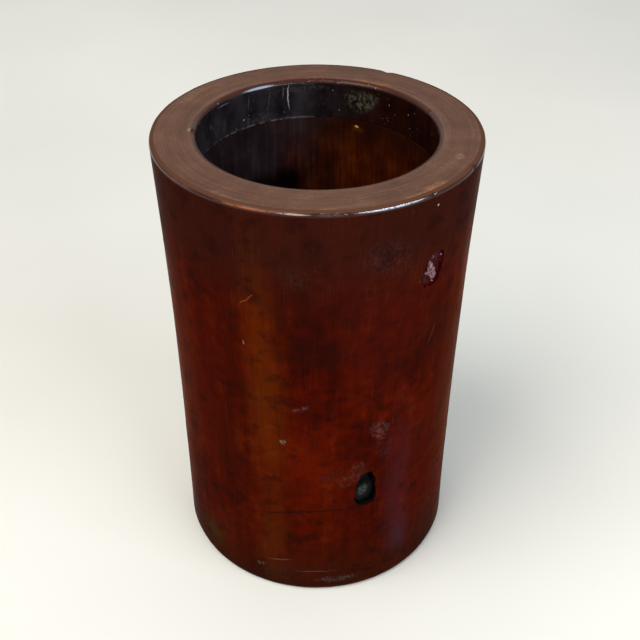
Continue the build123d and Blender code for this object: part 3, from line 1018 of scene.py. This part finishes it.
def black_stopping():
    """The bud scar's black stopping, glossy but for a dusty facet."""
    finish = Finish("black_stopping", {"Specular IOR Level": 0.04})
    grain = finish.noise((1.1, 1.1, 1.1), 5, 41)
    dust = finish.mark(-70.9, 48.7, 2.3, 3.3, -10, soft=0.5, vector=finish.place)
    dust = finish.times(dust, finish.step(grain, 0.4, 0.62, 0.3, 0.9))
    colour = finish.mixed(dust, srgb(3, 3, 4), srgb(60, 62, 62))
    roughness = finish.sum("MULTIPLY_ADD", dust, 0.4, finish.step(grain, 0.3, 0.7, 0.14, 0.3))
    finish.bump((grain, 0.25))
    return finish.finish(colour, roughness)


def pink_filler():
    """The crumbly pinkish filler in the chip."""
    finish = Finish("pink_filler", {"Specular IOR Level": 0.3})
    crumbs = finish.noise((1.4, 1.4, 1.4), 6, 51)
    fine = finish.noise((4.5, 4.5, 4.5), 4, 52)
    colour = finish.ramp(crumbs, [
        (0.36, srgb(66, 30, 34)), (0.48, srgb(116, 76, 82)), (0.62, srgb(160, 122, 130))])
    colour = finish.mixed(finish.step(fine, 0.5, 0.66, 0, 0.6), colour, srgb(70, 26, 28))
    finish.bump((crumbs, 0.4), (fine, 0.15))
    return finish.finish(colour, finish.step(crumbs, 0.3, 0.7, 0.55, 0.8))


dress(bud_stopping, black_stopping())
dress(chip_filler, pink_filler())


# -------------------- the floor, its putty and its pegs

def grained_wood(name, dark, light, seed):
    """A plain wood with grain along X."""
    finish = Finish(name, {"Specular IOR Level": 0.3})
    grain = finish.noise((0.06, 0.9, 0.9), 5, seed)
    pores = finish.noise((0.25, 4.0, 4.0), 3, seed + 1)
    tone = finish.sum("MULTIPLY_ADD", pores, 0.3, finish.times(grain, 0.7))
    colour = finish.ramp(tone, [(0.38, dark), (0.62, light)])
    finish.bump((grain, 0.15), (pores, 0.08))
    return finish.finish(colour, finish.step(grain, 0.3, 0.7, 0.5, 0.7))


def putty():
    """Hardened lacquer putty round the floor."""
    finish = Finish("lacquer_putty", {"Specular IOR Level": 0.35})
    lumps = finish.noise((0.5, 0.5, 0.5), 5, 71)
    grit = finish.noise((3.2, 3.2, 3.2), 4, 72)
    colour = finish.ramp(lumps, [(0.35, srgb(34, 22, 18)), (0.65, srgb(70, 50, 40))])
    finish.bump((lumps, 0.4), (grit, 0.1))
    return finish.finish(colour, finish.step(grit, 0.3, 0.7, 0.4, 0.65))


dress(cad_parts["floor_disc"], grained_wood("floor_wood", srgb(58, 36, 24), srgb(104, 72, 48), 61))
dress(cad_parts["floor_pegs"], grained_wood("peg_bamboo", srgb(120, 90, 56), srgb(170, 136, 92), 65))
dress(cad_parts["floor_putty"], putty())


# -------------------- the studio

def floor_finish():
    """Pale, plain, faintly uneven."""
    finish = Finish("pale_floor", {"Specular IOR Level": 0.1})
    haze = finish.noise((0.004, 0.004, 0.004), 3, 81)
    colour = finish.ramp(haze, [(0.3, srgb(222, 222, 215)), (0.7, srgb(229, 229, 222))])
    return finish.finish(colour, finish.step(haze, 0.3, 0.7, 0.75, 0.85))


def add_floor(half=30.0):
    """A wide floor under the cup."""
    mesh = bpy.data.meshes.new("studio_floor")
    corners = [(-half, -half, 0), (half, -half, 0), (half, half, 0), (-half, half, 0)]
    mesh.from_pydata(corners, [], [(0, 1, 2, 3)])
    mesh.materials.append(floor_finish())
    floor = bpy.data.objects.new("studio_floor", mesh)
    bpy.context.scene.collection.objects.link(floor)


def add_softbox(name, direction, distance, width, height, watts, colour):
    """A rectangular soft light that faces the cup's middle from that direction."""
    aim = Vector((0, 0, HEIGHT / 2 * MM))
    towards = Vector(direction).normalized()
    data = bpy.data.lights.new(name, "AREA")
    data.shape = "RECTANGLE"
    data.size, data.size_y = width, height
    data.energy = watts
    data.color = colour
    light = bpy.data.objects.new(name, data)
    light.location = aim + towards * distance
    light.rotation_euler = towards.to_track_quat("Z", "Y").to_euler()
    light.visible_camera = False
    bpy.context.scene.collection.objects.link(light)


def add_world(colour, strength):
    """An even, dim, pale surround."""
    world = bpy.data.worlds.new("studio")
    world.use_nodes = True
    background = world.node_tree.nodes["Background"]
    background.inputs["Color"].default_value = colour
    background.inputs["Strength"].default_value = strength
    bpy.context.scene.world = world


def add_camera():
    """The camera at the photograph's viewing angle."""
    data = bpy.data.cameras.new("camera")
    data.lens = 55.1
    data.sensor_width = 36
    data.clip_start, data.clip_end = 0.01, 100
    camera = bpy.data.objects.new("camera", data)
    camera.location = (0.0011, -0.2795, 0.2944)
    pitch, roll = math.radians(53.38), math.radians(0.3)
    camera.rotation_euler = (Matrix.Rotation(pitch, 3, "X") @ Matrix.Rotation(roll, 3, "Z")).to_euler()
    bpy.context.scene.collection.objects.link(camera)
    bpy.context.scene.camera = camera


add_floor()
add_softbox("key", (-0.45, -0.35, 1.0), 1.25, 0.8, 0.8, 13, (1.0, 0.98, 0.94))
add_softbox("wall", (-0.1, 1.0, 0.72), 1.3, 1.8, 0.8, 3.2, (0.98, 1.0, 1.0))
add_softbox("window", (0.665, -0.6, 0.47), 1.0, 0.8, 0.08, 6.0, (0.86, 0.93, 1.0))
add_softbox("lamp", (-0.42, -0.66, 0.56), 1.2, 0.7, 0.05, 1.6, (1.0, 0.55, 0.26))
add_world((0.95, 0.97, 1.0, 1.0), 0.36)
bpy.context.scene.view_settings.view_transform = "Standard"
add_camera()
